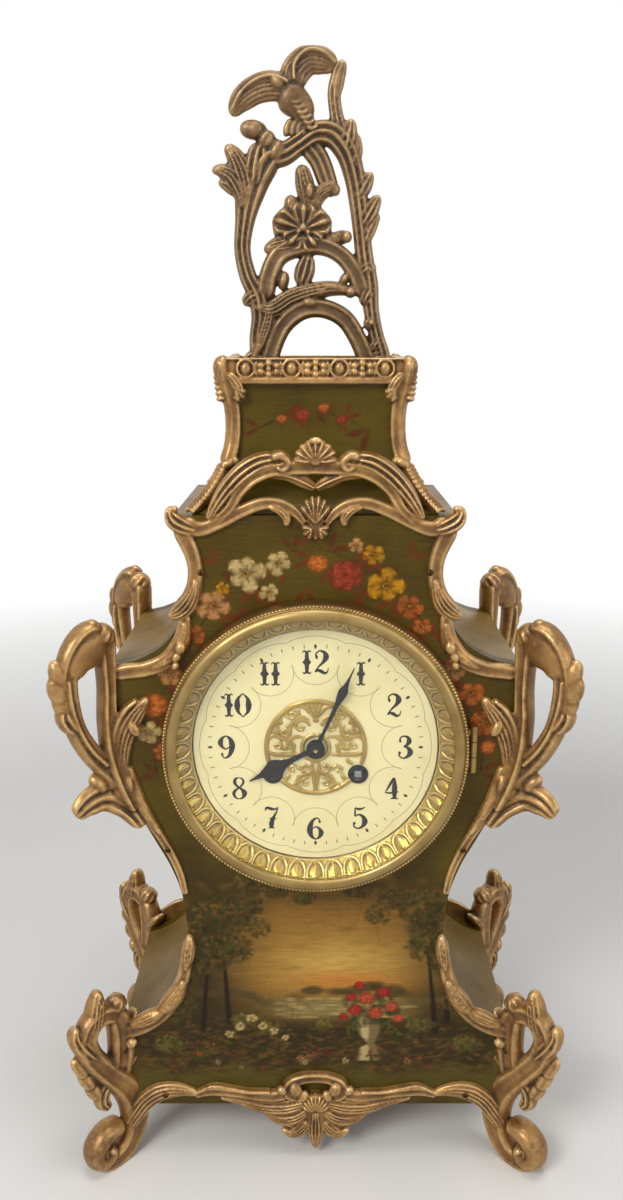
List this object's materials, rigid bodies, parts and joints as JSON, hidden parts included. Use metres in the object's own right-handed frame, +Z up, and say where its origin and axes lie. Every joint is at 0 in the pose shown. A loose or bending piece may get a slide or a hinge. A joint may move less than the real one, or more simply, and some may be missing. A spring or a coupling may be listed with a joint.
{
  "type": "mantel clock",
  "caption": "Waisted mantel clock in a painted wooden case with scrolled gilt bronze mounts, an openwork finial, a round dial behind a hinged glazed bezel, and a striking movement.",
  "frame": {"origin": "on the surface that the feet stand on, under the middle of the case", "axes": "+Z up, +Y from the dial to the rear door, +X to the right as seen from the front"},
  "size_m": [0.2554, 0.1514, 0.5672],
  "materials": {
    "painted_case": "olive green lacquer over wood with painted flowers and landscape, slightly crazed, satin",
    "gilt_bronze": "cast and chased bronze, browned gilding, dark in the hollows, worn brighter on the edges",
    "bezel_brass": "turned brass, dulled, beaded rim",
    "movement_brass": "polished brass, lightly toned",
    "bright_gilt": "bright stamped gilt brass",
    "dial_enamel": null,
    "blued_steel": "dark blued steel",
    "bright_steel": "polished steel",
    "bell_metal": "turned bell metal",
    "bezel_glass": "clear bevelled glass"
  },
  "bodies": {
    "clock": {"case_side_left": "painted_case", "case_side_right": "painted_case", "case_floor": "painted_case", "case_top": "painted_case", "front_board": "painted_case", "back_board": "painted_case", "roof_and_cap": "painted_case", "cap_gallery": "gilt_bronze", "crest_mount": "gilt_bronze", "apron_mount": "gilt_bronze", "finial_frame": "gilt_bronze", "finial_blossom": "gilt_bronze", "finial_bird": "gilt_bronze", "handle_front_left": "gilt_bronze", "foot_front_left": "gilt_bronze", "cap_corner_front_left": "gilt_bronze", "handle_front_right": "gilt_bronze", "foot_front_right": "gilt_bronze", "cap_corner_front_right": "gilt_bronze", "handle_rear_left": "gilt_bronze", "foot_rear_left": "gilt_bronze", "cap_corner_rear_left": "gilt_bronze", "handle_rear_right": "gilt_bronze", "foot_rear_right": "gilt_bronze", "cap_corner_rear_right": "gilt_bronze", "dial_ring": "bezel_brass", "dial": "dial_enamel", "winding_ferrule_left": "blued_steel", "winding_ferrule_right": "blued_steel", "dial_centre_ornament": "bright_gilt", "front_plate": "movement_brass", "back_plate": "movement_brass", "suspension_cock": "movement_brass", "bell": "bell_metal", "bell_stand": "movement_brass", "rear_door_hinge": "movement_brass"},
    "bezel_door": {"bezel_ring": "bezel_brass", "bezel_glass": "bezel_glass", "sight_ring": "bright_gilt"},
    "rear_door": {"rear_door": "movement_brass"},
    "minute_work": {"minute_hand": "blued_steel", "cannon_pinion": "bright_steel"},
    "hour_work": {"hour_hand": "blued_steel", "hour_wheel": "movement_brass"},
    "minute_wheel": {"minute_wheel": "movement_brass"},
    "going_barrel": {"going_barrel": "movement_brass"},
    "going_winding": {"going_winding_arbor": "bright_steel"},
    "strike_barrel": {"strike_barrel": "movement_brass"},
    "strike_winding": {"strike_winding_arbor": "bright_steel"},
    "second_wheel": {"second_wheel": "movement_brass"},
    "centre_wheel": {"centre_wheel": "movement_brass"},
    "third_wheel": {"third_wheel": "movement_brass"},
    "escape_wheel": {"escape_wheel": "movement_brass"},
    "pallets": {"pallets": "bright_steel"},
    "pendulum": {"pendulum": "movement_brass"},
    "pin_wheel": {"pin_wheel": "movement_brass"},
    "locking_wheel": {"locking_wheel": "movement_brass"},
    "fly": {"fly": "movement_brass"},
    "hammer": {"hammer": "bright_steel"}
  },
  "joints": [
    {"name": "bezel_hinge", "type": "hinge", "parent": "clock", "child": "bezel_door", "pos_m": [0.0773, -0.0565, 0.242], "axis": [0, 0, 1], "range_deg": [0, 105]},
    {"name": "rear_door_hinge", "type": "hinge", "parent": "clock", "child": "rear_door", "pos_m": [-0.0599, 0.0545, 0.242], "axis": [0, 0, 1], "range_deg": [0, 110]},
    {"name": "minute_hand_turn", "type": "hinge", "parent": "clock", "child": "minute_work", "pos_m": [0, 0, 0.242], "axis": [0, 1, 0], "continuous": true},
    {"name": "hour_hand_turn", "type": "hinge", "parent": "clock", "child": "hour_work", "pos_m": [0, 0, 0.242], "axis": [0, 1, 0], "continuous": true},
    {"name": "minute_wheel_turn", "type": "hinge", "parent": "clock", "child": "minute_wheel", "pos_m": [0, 0, 0.2294], "axis": [0, 1, 0], "continuous": true},
    {"name": "escape_wheel_turn", "type": "hinge", "parent": "clock", "child": "escape_wheel", "pos_m": [0, 0, 0.272], "axis": [0, 1, 0], "continuous": true},
    {"name": "third_wheel_turn", "type": "hinge", "parent": "clock", "child": "third_wheel", "pos_m": [0, 0, 0.2576], "axis": [0, 1, 0], "continuous": true},
    {"name": "centre_wheel_turn", "type": "hinge", "parent": "clock", "child": "centre_wheel", "pos_m": [0, 0, 0.242], "axis": [0, 1, 0], "continuous": true},
    {"name": "second_wheel_turn", "type": "hinge", "parent": "clock", "child": "second_wheel", "pos_m": [0.01414, 0, 0.24991], "axis": [0, 1, 0], "continuous": true},
    {"name": "going_barrel_turn", "type": "hinge", "parent": "clock", "child": "going_barrel", "pos_m": [0.021, 0, 0.228], "axis": [0, 1, 0], "continuous": true},
    {"name": "going_winding", "type": "hinge", "parent": "clock", "child": "going_winding", "pos_m": [0.021, 0, 0.228], "axis": [0, 1, 0], "range_deg": [0, 2160]},
    {"name": "strike_winding", "type": "hinge", "parent": "clock", "child": "strike_winding", "pos_m": [-0.021, 0, 0.228], "axis": [0, 1, 0], "range_deg": [0, 2160]},
    {"name": "fly_turn", "type": "hinge", "parent": "clock", "child": "fly", "pos_m": [-0.01523, 0, 0.27082], "axis": [0, 1, 0], "continuous": true},
    {"name": "locking_wheel_turn", "type": "hinge", "parent": "clock", "child": "locking_wheel", "pos_m": [-0.02045, 0, 0.26177], "axis": [0, 1, 0], "continuous": true},
    {"name": "pin_wheel_turn", "type": "hinge", "parent": "clock", "child": "pin_wheel", "pos_m": [-0.01414, 0, 0.24991], "axis": [0, 1, 0], "continuous": true},
    {"name": "strike_barrel_turn", "type": "hinge", "parent": "clock", "child": "strike_barrel", "pos_m": [-0.021, 0, 0.228], "axis": [0, 1, 0], "continuous": true},
    {"name": "hammer_lift", "type": "hinge", "parent": "clock", "child": "hammer", "pos_m": [-0.033, 0, 0.251], "axis": [0, 1, 0], "range_deg": [0, 18], "stiffness_Nm_per_rad": 0.02, "springref_deg": -20.05},
    {"name": "pendulum_swing", "type": "hinge", "parent": "clock", "child": "pendulum", "pos_m": [0, 0.009, 0.283], "axis": [0, 1, 0], "range_deg": [-4, 4]},
    {"name": "pallets_rock", "type": "hinge", "parent": "clock", "child": "pallets", "pos_m": [0, 0, 0.283], "axis": [0, 1, 0], "range_deg": [-4, 4]}
  ],
  "couplings": [
    {"joint": "hour_hand_turn", "follows": "minute_hand_turn", "ratio": 0.083333},
    {"joint": "minute_wheel_turn", "follows": "minute_hand_turn", "ratio": -0.33333},
    {"joint": "escape_wheel_turn", "follows": "centre_wheel_turn", "ratio": 132},
    {"joint": "third_wheel_turn", "follows": "centre_wheel_turn", "ratio": -12},
    {"joint": "second_wheel_turn", "follows": "centre_wheel_turn", "ratio": -0.2},
    {"joint": "going_barrel_turn", "follows": "centre_wheel_turn", "ratio": 0.033333},
    {"joint": "fly_turn", "follows": "pin_wheel_turn", "ratio": 30},
    {"joint": "locking_wheel_turn", "follows": "pin_wheel_turn", "ratio": -6},
    {"joint": "strike_barrel_turn", "follows": "pin_wheel_turn", "ratio": -0.16667},
    {"joint": "pallets_rock", "follows": "pendulum_swing", "ratio": 1}
  ]
}
